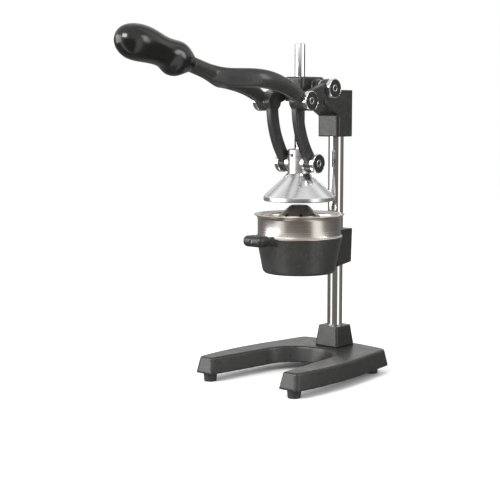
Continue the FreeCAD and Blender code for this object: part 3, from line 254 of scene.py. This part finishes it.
def pale_floor():
    material, tree, shader = start_material("pale_floor", (0.93, 0.93, 0.93), 0.0, 0.7)
    cloud = noise(tree, object_coordinates(tree), 3.0)
    tree.links.new(two_colors(tree, cloud, (0.93, 0.93, 0.93), (0.95, 0.95, 0.95)),
                   shader.inputs["Base Color"])
    return material


FINISHES = {
    "charcoal_coat": charcoal_coat(),
    "cup_coat": cup_coat(),
    "polished_steel": polished_steel(),
    "chrome": chrome(),
    "black_inlay": black_inlay(),
    "bright_aluminium": bright_aluminium(),
    "brushed_steel": brushed_steel(),
    "reamer_steel": reamer_steel(),
    "fastener_steel": fastener_steel(),
    "black_rubber": black_rubber(),
    "gloss_black_plastic": gloss_black_plastic(),
    "black_plastic": black_plastic(),
}


# Shaping tools

def deselect():
    for item in bpy.context.selected_objects:
        item.select_set(False)


def choose(piece):
    deselect()
    piece.select_set(True)
    bpy.context.view_layer.objects.active = piece


def apply_modifier(piece, kind, **settings):
    choose(piece)
    modifier = piece.modifiers.new(kind.lower(), kind)
    for key, value in settings.items():
        setattr(modifier, key, value)
    bpy.ops.object.modifier_apply(modifier=modifier.name)


def smooth(piece, angle=35):
    choose(piece)
    bpy.ops.object.shade_smooth_by_angle(angle=math.radians(angle))


def merge_points():
    bpy.ops.mesh.select_all(action="SELECT")
    bpy.ops.mesh.remove_doubles(threshold=0.01 * MM)


def join(piece, others):
    choose(piece)
    for item in others:
        item.select_set(True)
    bpy.ops.object.join()


def settle(piece, place=(0, 0, 0), turn=(0, 0, 0)):
    # Moves a piece drawn round the upright axis at x = y = 0 to its place, given in millimetres.
    choose(piece)
    piece.location = (place[0] * MM, place[1] * MM + AXIS_Y, place[2] * MM)
    piece.rotation_euler = [math.radians(angle) for angle in turn]
    bpy.ops.object.transform_apply(location=True, rotation=True, scale=True)


def stand_for(piece, finish, node):
    piece.data.materials.clear()
    piece.data.materials.append(FINISHES[finish])
    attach(piece, BODY_OF[node])
    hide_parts(node)


ON_AXIS = 0.002


def ring_body(name, rings, segments=128):
    # Rings of (radius, height) or (radius, height, sideways), joined in order, in millimetres.
    deselect()
    radius, height = rings[0][:2]
    side = rings[0][2] if len(rings[0]) > 2 else 0
    bpy.ops.mesh.primitive_circle_add(vertices=segments, radius=radius * MM, fill_type="NOTHING",
                                      location=(0, side * MM, height * MM))
    piece = bpy.context.object
    piece.name = name
    bpy.ops.object.transform_apply(location=True, rotation=True, scale=True)
    bpy.ops.object.mode_set(mode="EDIT")
    bpy.ops.mesh.select_all(action="SELECT")
    for ring in rings[1:]:
        next_side = ring[2] if len(ring) > 2 else 0
        step = (0, (next_side - side) * MM, (ring[1] - height) * MM)
        share = ring[0] / radius
        bpy.ops.mesh.extrude_region_move(TRANSFORM_OT_translate={"value": step})
        bpy.ops.transform.resize(value=(share, share, 1),
                                 center_override=(0, next_side * MM, ring[1] * MM))
        radius, height, side = ring[0], ring[1], next_side
    merge_points()
    bpy.ops.mesh.normals_make_consistent(inside=False)
    bpy.ops.object.mode_set(mode="OBJECT")
    return piece


def round_edges(piece, width, segments=3, angle=25):
    apply_modifier(piece, "BEVEL", width=width * MM, segments=segments, limit_method="ANGLE",
                   angle_limit=math.radians(angle), use_clamp_overlap=True)


def cutter(name, radius, length, place, turn, segments=48):
    deselect()
    bpy.ops.mesh.primitive_cylinder_add(vertices=segments, radius=radius * MM, depth=length * MM)
    tool = bpy.context.object
    tool.name = name
    settle(tool, place, turn)
    return tool


def cut(piece, tools):
    for tool in tools:
        apply_modifier(piece, "BOOLEAN", object=tool, operation="DIFFERENCE", solver="EXACT")
        bpy.data.objects.remove(tool)


def weld(piece, tool):
    apply_modifier(piece, "BOOLEAN", object=tool, operation="UNION", solver="EXACT")
    bpy.data.objects.remove(tool)


# Castings: each takes the solid's shape, with the soft edges and faint unevenness of cast metal

# (solid, piece, finish, grain in millimetres, passes of smoothing)
CASTINGS = (
    ("base_casting", "cast_base", "charcoal_coat", 1.15, 5),
    ("column_socket", "cast_socket", "charcoal_coat", 0.8, 5),
    ("head_bracket", "cast_bracket", "charcoal_coat", 0.85, 6),
    ("cup_collar", "cast_collar", "charcoal_coat", 0.8, 5),
    ("link_right", "cast_link_right", "charcoal_coat", 0.6, 6),
    ("link_left", "cast_link_left", "charcoal_coat", 0.6, 6),
    ("juice_cup", "cast_cup", "cup_coat", 0.95, 5),
)


def copy_solid(node, name):
    piece = bpy.data.objects.new(name, frame["nodes"][node].data.copy())
    bpy.context.scene.collection.objects.link(piece)
    choose(piece)
    bpy.ops.object.mode_set(mode="EDIT")
    merge_points()
    bpy.ops.object.mode_set(mode="OBJECT")
    return piece


def soften(piece, grain, passes):
    # Remeshes a piece in grains of this many millimetres, then smooths its edges.
    apply_modifier(piece, "REMESH", mode="VOXEL", voxel_size=grain * MM, use_smooth_shade=True)
    apply_modifier(piece, "SMOOTH", factor=0.5, iterations=passes)


def make_casting(node, name, finish, grain, passes):
    piece = copy_solid(node, name)
    soften(piece, grain, passes)
    stand_for(piece, finish, node)


# The fork: two swept round arms that grow out of the bar, fused with the eyes and cranks behind them
# Paths of (x, y, z, radius) in millimetres from the rod's axis

ARM_MIDDLE = 34.8
ARM_SHARE = 0.62
ARM_CUT_Y = -43.0
LEVER_GRAIN = 0.75
LEVER_PASSES = 8
ARM_PATH = (
    (0.0, -198.0, 423.9, 10.0),
    (1.0, -180.0, 418.6, 10.2),
    (5.0, -163.0, 413.6, 11.2),
    (14.0, -146.0, 411.6, 12.2),
    (26.0, -129.0, 411.9, 12.4),
    (33.5, -112.0, 410.9, 12.2),
    (ARM_MIDDLE, -94.0, 407.9, 11.8),
    (ARM_MIDDLE, -77.0, 403.6, 11.3),
    (ARM_MIDDLE, -60.0, 397.6, 10.8),
    (ARM_MIDDLE, -46.0, 390.6, 10.4),
    (ARM_MIDDLE, -35.0, 383.8, 9.8),
)
BAR_PATH = (
    (0.0, -212.0, 427.8, 10.0),
    (0.0, -200.0, 424.4, 10.0),
    (0.0, -180.0, 418.9, 10.2),
    (0.0, -166.0, 415.0, 9.6),
    (0.0, -154.0, 412.0, 7.0),
)
TANG_PATH = (
    (0.0, -205.2, 426.1, 6.0),
    (0.0, -240.0, 434.9, 6.0),
    (0.0, -280.0, 445.0, 6.0),
    (0.0, -304.8, 451.3, 6.0),
)


def swept_bar(name, path, side=1, across=1.0):
    # A round bar along a smooth path, thinned sideways about the arm's middle.
    deselect()
    bpy.ops.curve.primitive_nurbs_path_add()
    bar = bpy.context.object
    bar.name = name
    bar.data.splines.clear()
    spline = bar.data.splines.new("NURBS")
    spline.points.add(len(path) - 1)
    for point, (x, y, z, radius) in zip(spline.points, path):
        wide = ARM_MIDDLE + (x - ARM_MIDDLE) / across
        point.co = (side * wide * MM, y * MM + AXIS_Y, z * MM, 1)
        point.radius = radius
    spline.order_u = 4
    spline.use_endpoint_u = True
    bar.data.bevel_depth = MM
    bar.data.bevel_resolution = 10
    bar.data.resolution_u = 10
    bar.data.use_fill_caps = True
    bpy.ops.object.convert(target="MESH")
    bar = bpy.context.object
    bpy.ops.object.mode_set(mode="EDIT")
    merge_points()
    bpy.ops.transform.resize(value=(across, 1, 1), center_override=(side * ARM_MIDDLE * MM, 0, 0))
    bpy.ops.mesh.normals_make_consistent(inside=False)
    bpy.ops.object.mode_set(mode="OBJECT")
    return bar


def make_lever():
    piece = copy_solid("lever_fork", "cast_lever")
    bpy.ops.object.mode_set(mode="EDIT")
    bpy.ops.mesh.select_all(action="SELECT")
    bpy.ops.mesh.bisect(plane_co=(0, ARM_CUT_Y * MM + AXIS_Y, 0), plane_no=(0, 1, 0), use_fill=True,
                        clear_inner=True)
    bpy.ops.object.mode_set(mode="OBJECT")
    bars = [swept_bar("fork_bar", BAR_PATH), swept_bar("fork_tang", TANG_PATH)]
    for side in (1, -1):
        bars.append(swept_bar("fork_arm", ARM_PATH, side, ARM_SHARE))
    join(piece, bars)
    soften(piece, LEVER_GRAIN, LEVER_PASSES)
    stand_for(piece, "charcoal_coat", "lever_fork")


# Turned pieces

COLUMN_RADIUS = 10.9
ROD_RADIUS = 7.05
ROD_CHAMFER = 1.2


def make_column():
    low = COLUMN_LOW.z / MM
    high = COLUMN_HIGH.z / MM
    piece = ring_body("turned_column", [
        (ON_AXIS, low),
        (COLUMN_RADIUS, low),
        (COLUMN_RADIUS, high),
        (ON_AXIS, high),
    ])
    settle(piece, (0, (COLUMN_Y - AXIS_Y) / MM, 0))
    smooth(piece)
    stand_for(piece, "polished_steel", "column")


def make_rod():
    low = ROD_LOW.z / MM
    high = ROD_HIGH.z / MM
    piece = ring_body("turned_rod", [
        (ON_AXIS, low),
        (ROD_RADIUS, low),
        (ROD_RADIUS, high - ROD_CHAMFER),
        (ROD_RADIUS - ROD_CHAMFER, high),
        (ON_AXIS, high),
    ])
    settle(piece)
    round_edges(piece, 0.3)
    smooth(piece)
    stand_for(piece, "polished_steel", "press_rod")


CONE_RIM = 49.3
CONE_HOLLOW_TOP = 276.0
HUB_RADIUS = 16.3
HUB_TOP = 318.6
HUB_CHAMFER = 2.0
ROD_SEAT = 288.95
HUB_BOSS_RADIUS = 12.3
HUB_BOSS_REACH = 16.4
HUB_SCREW_HEIGHT = 309.7
SCREW_RADIUS = 3.0
CROSS_BOLT_RADIUS = 5.0
BORE_OVERRUN = 2
CROSS_HEIGHT = JOINTS["links_hinge"]["pos_m"][2] / MM


def make_cone():
    bore_radius = ROD_RADIUS + CLEARANCE
    piece = ring_body("turned_cone", [
        (ON_AXIS, CONE_HOLLOW_TOP),
        (14.0, CONE_HOLLOW_TOP),
        (CONE_RIM - 5.5, 252.1),
        (CONE_RIM - 4.0, 247.2),
        (CONE_RIM - 0.8, 247.2),
        (CONE_RIM, 248.2),
        (CONE_RIM, 252.6),
        (CONE_RIM - 1.0, 254.4),
        (17.8, 283.6),
        (HUB_RADIUS, 285.1),
        (HUB_RADIUS, HUB_TOP - HUB_CHAMFER),
        (HUB_RADIUS - HUB_CHAMFER, HUB_TOP),
        (bore_radius, HUB_TOP),
        (bore_radius, ROD_SEAT),
        (ON_AXIS, ROD_SEAT),
    ], 160)
    settle(piece)
    boss = cutter("hub_boss", HUB_BOSS_RADIUS, 2 * HUB_BOSS_REACH, (0, 0, CROSS_HEIGHT), (0, 90, 0), 96)
    weld(piece, boss)
    rod_place = (0, 0, (HUB_TOP + ROD_SEAT + BORE_OVERRUN) / 2)
    screw_place = (0, -(HUB_RADIUS + BORE_OVERRUN) / 2, HUB_SCREW_HEIGHT)
    cut(piece, [
        cutter("hub_bore", bore_radius, HUB_TOP - ROD_SEAT + BORE_OVERRUN, rod_place, (0, 0, 0), 160),
        cutter("cross_bore", CROSS_BOLT_RADIUS + CLEARANCE, 2 * HUB_BOSS_REACH + BORE_OVERRUN,
               (0, 0, CROSS_HEIGHT), (0, 90, 0)),
        cutter("screw_bore", SCREW_RADIUS + CLEARANCE, HUB_RADIUS + BORE_OVERRUN, screw_place, (90, 0, 0)),
    ])
    round_edges(piece, 0.35, 2)
    smooth(piece)
    stand_for(piece, "bright_aluminium", "press_cone")


BOWL_RADIUS = 57.5
BOWL_WALL = 1.5
BOWL_FOOT = 197.6
BOWL_RIM = 229.3
BOWL_RIM_RADIUS = 62.5
BOWL_BEAD_RADIUS = 60.0
SPIGOT_RADIUS = 53.9
SPIGOT_DEPTH = 2.5
FLOOR_HOLE_RADIUS = 25.0
FLOOR_AT_HOLE = (222.5, 224.0)
FLOOR_AT_WALL = (208.5, 210.0)
HOLE_RINGS = ((36.0, 12), (47.0, 16))
HOLE_RADIUS = 2.3
HOLE_MIDDLE = 217.0
HOLE_LENGTH = 24.0


def make_bowl():
    inner = BOWL_RADIUS - BOWL_WALL
    spigot_inner = SPIGOT_RADIUS - BOWL_WALL
    piece = ring_body("spun_bowl", [
        (FLOOR_HOLE_RADIUS, FLOOR_AT_HOLE[0]),
        (inner, FLOOR_AT_WALL[0]),
        (inner, BOWL_FOOT + 1.6),
        (spigot_inner, BOWL_FOOT + 1.6),
        (spigot_inner, BOWL_FOOT - SPIGOT_DEPTH),
        (SPIGOT_RADIUS, BOWL_FOOT - SPIGOT_DEPTH),
        (SPIGOT_RADIUS, BOWL_FOOT + CLEARANCE),
        (BOWL_BEAD_RADIUS - 0.3, BOWL_FOOT + CLEARANCE),
        (BOWL_BEAD_RADIUS, BOWL_FOOT + 0.8),
        (BOWL_BEAD_RADIUS - 0.5, BOWL_FOOT + 1.8),
        (BOWL_RADIUS + 0.3, BOWL_FOOT + 2.9),
        (BOWL_RADIUS, BOWL_FOOT + 4.4),
        (BOWL_RADIUS, BOWL_RIM - 6.5),
        (BOWL_RADIUS + 0.6, BOWL_RIM - 4.6),
        (BOWL_RADIUS + 2.4, BOWL_RIM - 2.6),
        (BOWL_RIM_RADIUS - 0.6, BOWL_RIM - 1.5),
        (BOWL_RIM_RADIUS, BOWL_RIM - 0.8),
        (BOWL_RIM_RADIUS - 0.4, BOWL_RIM - 0.1),
        (BOWL_RIM_RADIUS - 1.4, BOWL_RIM),
        (BOWL_RADIUS + 2.2, BOWL_RIM - 1.2),
        (inner + 1.2, BOWL_RIM - 2.9),
        (inner + 0.2, BOWL_RIM - 4.6),
        (inner, BOWL_RIM - 6.5),
        (inner, FLOOR_AT_WALL[1]),
        (FLOOR_HOLE_RADIUS, FLOOR_AT_HOLE[1]),
        (FLOOR_HOLE_RADIUS, FLOOR_AT_HOLE[0]),
    ], 160)
    settle(piece)
    holes = []
    for reach, count in HOLE_RINGS:
        for index in range(count):
            angle = 2 * math.pi * index / count
            place = (reach * math.cos(angle), reach * math.sin(angle), HOLE_MIDDLE)
            holes.append(cutter("drain_hole", HOLE_RADIUS, HOLE_LENGTH, place, (0, 0, 0), 20))
    join(holes[0], holes[1:])
    cut(piece, [holes[0]])
    smooth(piece)
    stand_for(piece, "brushed_steel", "strainer_bowl")


REAMER_BASE = FLOOR_AT_HOLE[1] + CLEARANCE
REAMER_RADIUS = 27.4
REAMER_SKIRT = 227.5
REAMER_TAPER = 12.9
REAMER_RISE = 11.5
REAMER_TOP = 241.0
REAMER_HOLLOW_TOP = 237.5
REAMER_STEPS = 5
REAMER_HOLE_HEIGHT = 228.6
REAMER_HOLE_RADIUS = 2.0


def make_reamer():
    rings = [
        (ON_AXIS, REAMER_HOLLOW_TOP),
        (9.5, REAMER_HOLLOW_TOP),
        (24.5, REAMER_BASE),
        (29.0, REAMER_BASE),
        (REAMER_RADIUS, REAMER_SKIRT),
    ]
    for index in range(1, REAMER_STEPS):
        share = index / REAMER_STEPS
        radius = REAMER_RADIUS - REAMER_TAPER * share
        height = REAMER_SKIRT + REAMER_RISE * share
        rings.append((radius, height))
        rings.append((radius - 1.2, height + 0.6))
    rings += [(14.5, 239.0), (11.5, REAMER_TOP), (ON_AXIS, REAMER_TOP)]
    piece = ring_body("pressed_reamer", rings, 128)
    settle(piece)
    place = (0, 0, REAMER_HOLE_HEIGHT)
    cut(piece, [cutter("reamer_hole", REAMER_HOLE_RADIUS, 60.0, place, (0, 90, 45 * index), 32)
                for index in range(4)])
    round_edges(piece, 0.3, 2, 20)
    smooth(piece)
    stand_for(piece, "reamer_steel", "reamer_cone")


# Round pivot heads with a chrome rim and a socketed boss round which the black ring lies

HEAD_RADIUS = 13.3
RING_RADIUS = 12.0
RING_DEPTH = 1.4
SOCKET_BOSS_RADIUS = 5.0
SOCKET_RADIUS = 3.4
SOCKET_DEPTH = 2.5
# (family, where the head starts, its thickness, radius of its shank)
HEADS = (
    ("fixed_pivot_head", 40.9, 6.8, 6.0),
    ("link_bolt", 40.6, 6.8, 5.0),
    ("cross_bolt", 27.8, 7.0, 5.0),
)
SIDES = {"right": 1, "left": -1}


def head_place(family):
    low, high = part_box(family + "_right")
    return ((low.y + high.y) / 2 - AXIS_Y) / MM, (low.z + high.z) / 2 / MM


def paint_socket_shade(piece, outer, across, up):
    # Paints the faces inside the socket, which lie up to 4 mm below outer, with the black inlay finish as painted
    # shade in the hexagon recess.
    piece.data.materials.append(FINISHES["black_inlay"])
    for face in piece.data.polygons:
        x, y, z = (value / MM for value in face.center)
        near = math.hypot(y - AXIS_Y / MM - across, z - up) < SOCKET_RADIUS + 0.1
        if near and outer - 4 < abs(x) < outer:
            face.material_index = 1


def make_heads():
    for family, start, thickness, shank in HEADS:
        across, up = head_place(family)
        for name, side in SIDES.items():
            low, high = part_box("%s_%s" % (family, name))
            reach = min(abs(low.x), abs(high.x)) / MM
            face = start + thickness
            piece = ring_body("%s_%s_turned" % (family, name), [
                (ON_AXIS, reach),
                (shank, reach),
                (shank, start),
                (HEAD_RADIUS - 0.6, start),
                (HEAD_RADIUS, start + 0.6),
                (HEAD_RADIUS, face - 1.0),
                (HEAD_RADIUS - 1.0, face),
                (RING_RADIUS, face),
                (RING_RADIUS, face - RING_DEPTH),
                (SOCKET_BOSS_RADIUS, face - RING_DEPTH),
                (SOCKET_BOSS_RADIUS, face - 0.3),
                (SOCKET_BOSS_RADIUS - 0.3, face),
                (ON_AXIS, face),
            ], 96)
            settle(piece, (0, across, up), (0, 90 * side, 0))
            cut(piece, [cutter("hexagon", SOCKET_RADIUS, 2 * SOCKET_DEPTH, (side * face, across, up),
                               (0, 90, 0), 6)])
            round_edges(piece, 0.15, 2)
            smooth(piece)
            stand_for(piece, "chrome", "%s_%s" % (family, name))
            # The socket's floor is painted black as painted shade in the recess.
            paint_socket_shade(piece, face - 0.5, across, up)


# Moulded grip: rings of (radius, distance along, upward offset) from its front end

GRIP_START = (-212.1, 427.83)
GRIP_ANGLE = 14.2
GRIP_RINGS = (
    (6.05, 96.4, 0.0),
    (6.05, 0.0, 0.0),
    (10.2, 0.0, 0.0),
    (11.4, 1.2, 0.1),
    (13.4, 5.0, 0.6),
    (17.8, 13.0, 0.2),
    (21.2, 20.5, -0.6),
    (22.2, 26.5, -0.9),
    (21.6, 33.0, -1.0),
    (19.0, 41.5, 0.9),
    (18.4, 50.0, 1.5),
    (19.4, 61.0, 1.8),
    (21.3, 74.0, 1.8),
    (22.5, 88.0, 0.6),
    (21.6, 100.0, -0.5),
    (17.9, 110.5, -0.5),
    (12.0, 117.5, -0.2),
    (6.0, 120.6, 0.0),
    (ON_AXIS, 121.3, 0.0),
)


def make_grip():
    piece = ring_body("moulded_grip", GRIP_RINGS, 48)
    settle(piece, (0, GRIP_START[0], GRIP_START[1]), (90 - GRIP_ANGLE, 0, 0))
    apply_modifier(piece, "SUBSURF", levels=2, render_levels=2)
    smooth(piece, 60)
    stand_for(piece, "gloss_black_plastic", "lever_grip")


# Cup handle: a moulded bar with full round edges

HANDLE_ROUND = 6.8
HANDLE_HOLE_RADIUS = 2.6


def make_cup_handle():
    low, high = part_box("cup_handle")
    middle = (low + high) / 2
    size = high - low
    deselect()
    bpy.ops.mesh.primitive_cube_add(size=1, location=middle)
    piece = bpy.context.object
    piece.name = "moulded_cup_handle"
    piece.scale = size
    bpy.ops.object.transform_apply(location=True, rotation=True, scale=True)
    round_edges(piece, HANDLE_ROUND, 8, 30)
    place = (0, (low.y - AXIS_Y) / MM, middle.z / MM)
    cut(piece, [cutter("handle_hole", HANDLE_HOLE_RADIUS, 60, place, (90, 0, 0), 32)])
    smooth(piece, 50)
    stand_for(piece, "black_plastic", "cup_handle")


def paint_cad_nodes():
    for name, node in frame["nodes"].items():
        if node.hide_render:
            continue
        node.data.materials.clear()
        finish = "charcoal_coat" if name == "link_pins" else NODE_SLOT[name]
        node.data.materials.append(FINISHES[finish])


# Light and floor

# (name, place, aim, size, power), in metres and watts
LIGHTS = (
    ("key", (0.2, -1.5, 1.1), (0, 0, 0.3), (0.9, 0.6), 26),
    ("left", (-1.15, -1.35, 0.55), (0, 0, 0.25), (1.5, 1.1), 24),
    ("right", (1.6, 0.7, 0.9), (0, 0, 0.3), (0.5, 1.0), 10),
)


def make_light(name, place, aim, size, power):
    data = bpy.data.lights.new(name, "AREA")
    data.shape = "RECTANGLE"
    data.size = size[0]
    data.size_y = size[1]
    data.energy = power
    light = bpy.data.objects.new(name, data)
    bpy.context.scene.collection.objects.link(light)
    light.location = place
    light.rotation_euler = (Vector(aim) - Vector(place)).to_track_quat("-Z", "Y").to_euler()


# What polished metal sees round the studio: (degrees from the camera's side, colour)
LEVEL_VIEW = (
    (-180, (0.30, 0.30, 0.29)),
    (-110, (0.12, 0.12, 0.115)),
    (-73, (0.15, 0.145, 0.14)),
    (-66, (1.35, 1.35, 1.33)),
    (-46, (1.35, 1.34, 1.32)),
    (-39, (0.15, 0.138, 0.128)),
    (0, (0.17, 0.155, 0.143)),
    (34, (0.14, 0.128, 0.118)),
    (41, (1.4, 1.4, 1.37)),
    (62, (1.4, 1.4, 1.37)),
    (70, (0.2, 0.2, 0.195)),
    (125, (0.13, 0.13, 0.125)),
    (180, (0.30, 0.30, 0.29)),
)
RAISED_VIEW = (
    (-180, (1.0, 1.0, 0.99)),
    (-156, (0.9, 0.9, 0.89)),
    (-138, (0.35, 0.35, 0.35)),
    (-120, (1.2, 1.2, 1.2)),
    (-95, (0.6, 0.6, 0.6)),
    (-60, (0.9, 0.9, 0.9)),
    (0, (0.75, 0.75, 0.75)),
    (60, (0.9, 0.9, 0.9)),
    (95, (0.5, 0.5, 0.5)),
    (118, (1.2, 1.2, 1.2)),
    (138, (0.3, 0.3, 0.3)),
    (158, (0.8, 0.8, 0.8)),
    (180, (1.0, 1.0, 0.99)),
)
SOFT_LIGHT = (1.16, 1.16, 1.16, 1)
WHITE = (1, 1, 1, 1)


def view_ramp(tree, share, stops):
    ramp = tree.nodes.new("ShaderNodeValToRGB")
    elements = ramp.color_ramp.elements
    while len(elements) < len(stops):
        elements.new(0.5)
    for element, (degrees, color) in zip(elements, stops):
        element.position = degrees / 360 + 0.5
        element.color = (*color, 1)
    tree.links.new(share, ramp.inputs["Fac"])
    return ramp.outputs["Color"]


def mix_colors(tree, share, first, second):
    node = tree.nodes.new("ShaderNodeMix")
    node.data_type = "RGBA"
    tree.links.new(share, node.inputs[0])
    for slot, value in ((6, first), (7, second)):
        if isinstance(value, tuple):
            node.inputs[slot].default_value = value
        else:
            tree.links.new(value, node.inputs[slot])
    return node.outputs[2]


def make_world():
    world = bpy.data.worlds.new("studio")
    bpy.context.scene.world = world
    world.use_nodes = True
    tree = world.node_tree
    direction = tree.nodes.new("ShaderNodeTexCoord").outputs["Generated"]
    facing = tree.nodes.new("ShaderNodeVectorRotate")
    facing.rotation_type = "Z_AXIS"
    facing.inputs["Angle"].default_value = -CAMERA_SIDE
    tree.links.new(direction, facing.inputs["Vector"])
    parts = tree.nodes.new("ShaderNodeSeparateXYZ")
    tree.links.new(facing.outputs["Vector"], parts.inputs["Vector"])
    bearing = tree.nodes.new("ShaderNodeMath")
    bearing.operation = "ARCTAN2"
    tree.links.new(parts.outputs["Y"], bearing.inputs[0])
    tree.links.new(parts.outputs["X"], bearing.inputs[1])
    share = between(tree, bearing.outputs["Value"], 0, 1, -math.pi, math.pi)
    raised = between(tree, parts.outputs["Z"], 0, 1, 0.1, 0.18)
    studio = mix_colors(tree, raised, view_ramp(tree, share, LEVEL_VIEW),
                        view_ramp(tree, share, RAISED_VIEW))
    rays = tree.nodes.new("ShaderNodeLightPath")
    lit = mix_colors(tree, rays.outputs["Is Diffuse Ray"], studio, SOFT_LIGHT)
    seen = mix_colors(tree, rays.outputs["Is Camera Ray"], lit, WHITE)
    tree.links.new(seen, tree.nodes["Background"].inputs["Color"])


def make_floor():
    deselect()
    bpy.ops.mesh.primitive_plane_add(size=8, location=(0, 0, 0))
    floor = bpy.context.object
    floor.name = "floor"
    floor.data.materials.append(pale_floor())
    floor.visible_glossy = False


deselect()
make_camera()
make_world()
make_floor()
for light in LIGHTS:
    make_light(*light)
bpy.context.scene.view_settings.view_transform = "Standard"

for casting in CASTINGS:
    make_casting(*casting)
make_lever()
make_column()
make_rod()
make_cone()
make_bowl()
make_reamer()
make_heads()
make_grip()
make_cup_handle()
paint_cad_nodes()
deselect()
